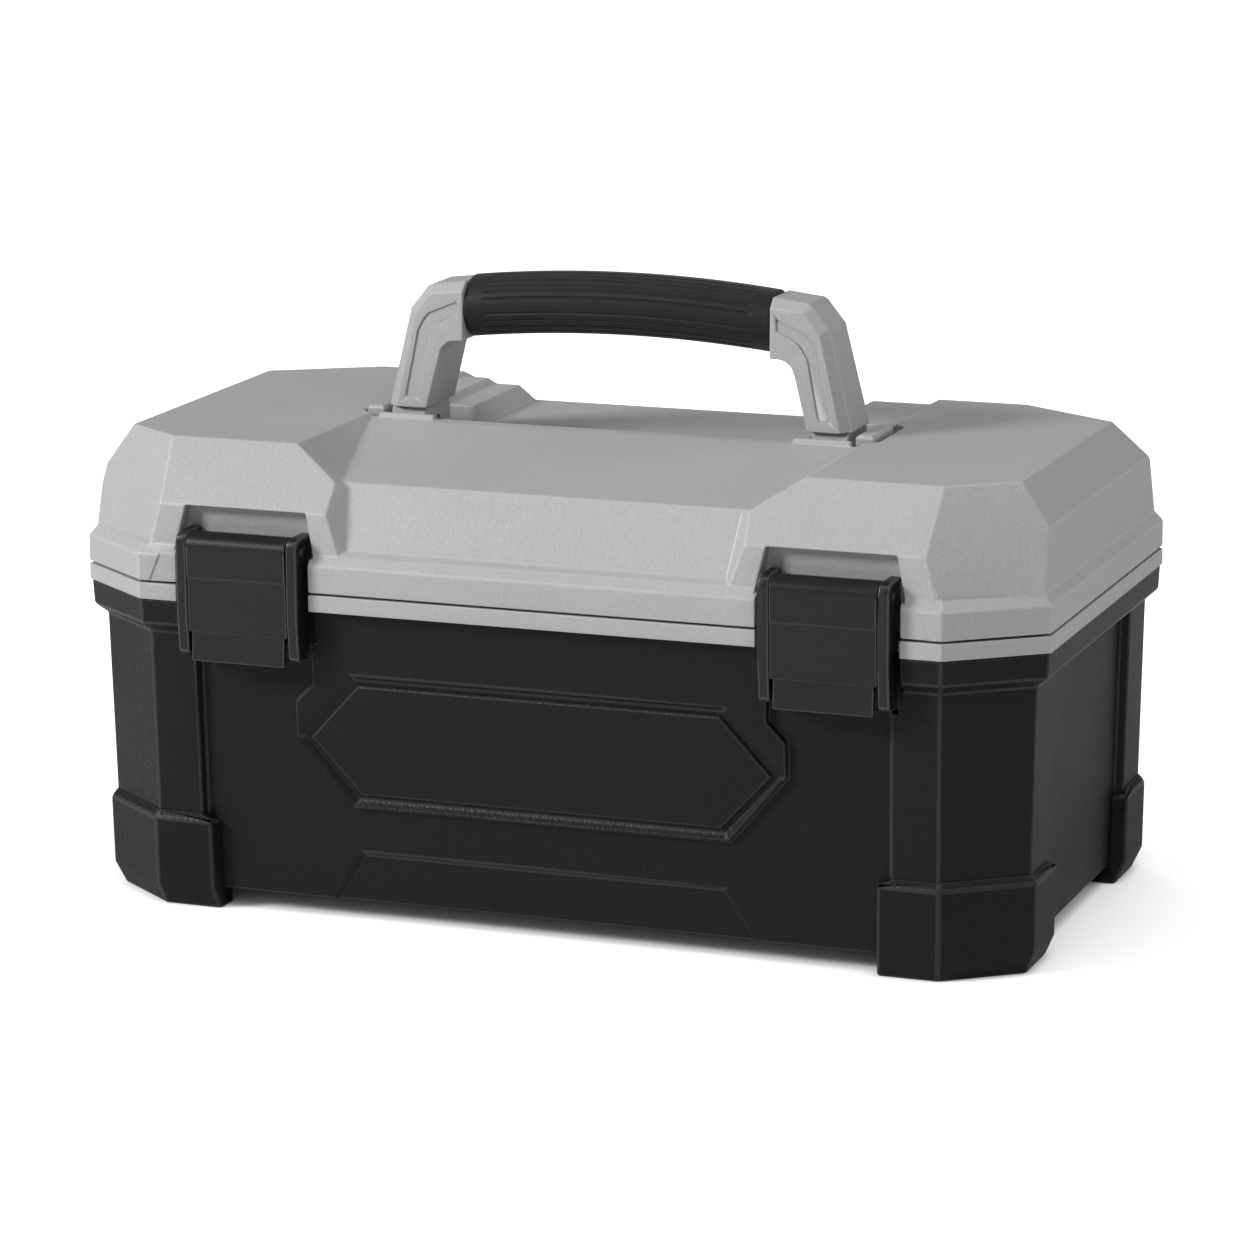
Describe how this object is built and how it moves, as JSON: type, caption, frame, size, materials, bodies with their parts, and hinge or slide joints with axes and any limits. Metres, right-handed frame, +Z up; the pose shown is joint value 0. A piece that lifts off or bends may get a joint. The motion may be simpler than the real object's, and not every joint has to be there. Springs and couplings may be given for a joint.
{
  "type": "toolbox with tray",
  "caption": "Hard plastic toolbox with hinged faceted lid, folding carry handle, front latches and a lift-out tray with dividers.",
  "frame": {"origin": "centre of the base on the ground, midway between the latches' front and the hinges' back", "axes": "+Z up, +X to the user's right along the box, latches on the -Y side"},
  "size_m": [0.48, 0.275, 0.2985],
  "materials": {
    "black_plastic": "fine moulded grain",
    "grey_plastic": "fine moulded grain",
    "latch_plastic": "satin",
    "tray_plastic": "satin moulded",
    "grip_rubber": "soft ribbed",
    "seal_rubber": "soft",
    "steel": "zinc plated"
  },
  "bodies": {
    "tub": {"tub_shell": "black_plastic", "rim_frame": "grey_plastic", "lid_seal": "seal_rubber", "badge_panel": "black_plastic", "foot_front_left": "black_plastic", "foot_front_right": "black_plastic", "foot_rear_left": "black_plastic", "foot_rear_right": "black_plastic", "latch_keeper_left": "black_plastic", "latch_keeper_right": "black_plastic", "tub_hinge_leaf_left": "black_plastic", "tub_hinge_leaf_right": "black_plastic", "hinge_pin_left": "steel", "hinge_pin_right": "steel", "tub_hinge_screws": "steel"},
    "lid": {"lid_shell": "grey_plastic", "lid_hinge_leaf_left": "black_plastic", "lid_hinge_leaf_right": "black_plastic", "handle_block_left": "grey_plastic", "handle_block_right": "grey_plastic", "handle_pivot_pin_left": "steel", "handle_pivot_pin_right": "steel", "latch_bracket_left": "latch_plastic", "latch_bracket_right": "latch_plastic", "latch_pin_left": "steel", "latch_pin_right": "steel", "lid_hinge_screws": "steel", "latch_screws": "steel"},
    "latch_left": {"latch_lever_left": "latch_plastic"},
    "latch_right": {"latch_lever_right": "latch_plastic"},
    "handle": {"handle_arm_left": "grey_plastic", "handle_arm_right": "grey_plastic", "arm_cover_left": "grey_plastic", "arm_cover_right": "grey_plastic", "handle_core_bar": "steel", "grip_sleeve": "grip_rubber"},
    "tray": {"tray_shell": "tray_plastic", "tray_handle": "tray_plastic", "tray_dividers": "tray_plastic"}
  },
  "joints": [
    {"name": "lid_hinge", "type": "hinge", "parent": "tub", "child": "lid", "pos_m": [0, 0.1335, 0.161], "axis": [-1, 0, 0], "range_deg": [0, 105]},
    {"name": "latch_left_swing", "type": "hinge", "parent": "lid", "child": "latch_left", "pos_m": [-0.1445, -0.1305, 0.1805], "axis": [-1, 0, 0], "range_deg": [0, 120]},
    {"name": "latch_right_swing", "type": "hinge", "parent": "lid", "child": "latch_right", "pos_m": [0.1445, -0.1305, 0.1805], "axis": [-1, 0, 0], "range_deg": [0, 120]},
    {"name": "handle_fold", "type": "hinge", "parent": "lid", "child": "handle", "pos_m": [0, 0, 0.221], "axis": [-1, 0, 0], "range_deg": [0, 45]},
    {"name": "tray_lift", "type": "slide", "parent": "tub", "child": "tray", "axis": [0, 0, 1], "range_m": [0, 0.14]}
  ],
  "couplings": [
    {"joint": "tray_lift", "follows": "lid_hinge", "m_per_rad": 0.0763}
  ]
}
